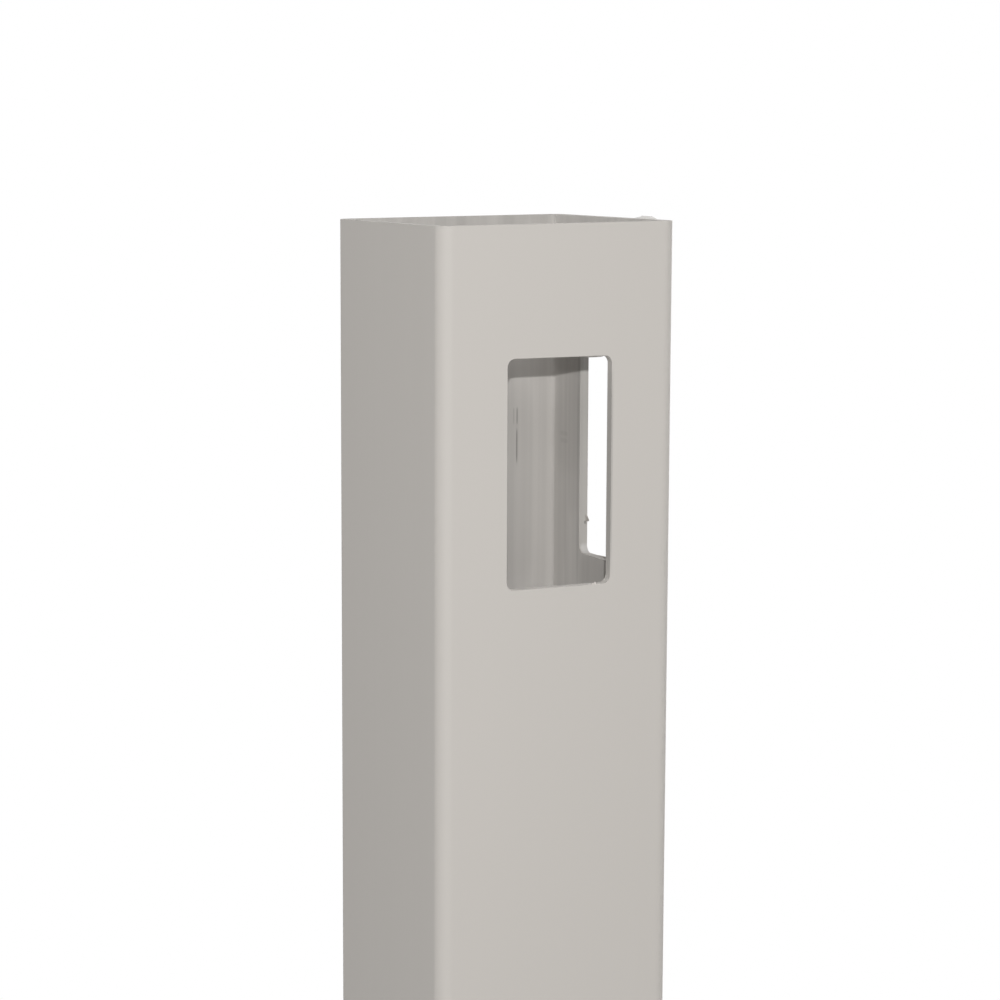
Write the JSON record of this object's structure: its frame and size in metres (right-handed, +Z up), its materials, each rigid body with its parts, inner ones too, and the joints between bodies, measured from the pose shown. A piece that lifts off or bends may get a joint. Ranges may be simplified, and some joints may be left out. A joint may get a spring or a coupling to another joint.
{
  "type": "corner fence post",
  "caption": "Hollow square vinyl fence post, open at the top, with rail holes routed through adjacent walls so that fence runs meet at a right-angled corner.",
  "frame": {"origin": "centre of the saw-cut foot, on the surface that the post stands on", "axes": "+Z up the post; the routed walls face -Y (front) and +X (side)"},
  "size_m": [0.1016, 0.1016, 1.8288],
  "materials": {
    "vinyl": "satin khaki rigid vinyl, coloured through"
  },
  "bodies": {
    "root": {"corner_post": "vinyl"}
  },
  "joints": []
}
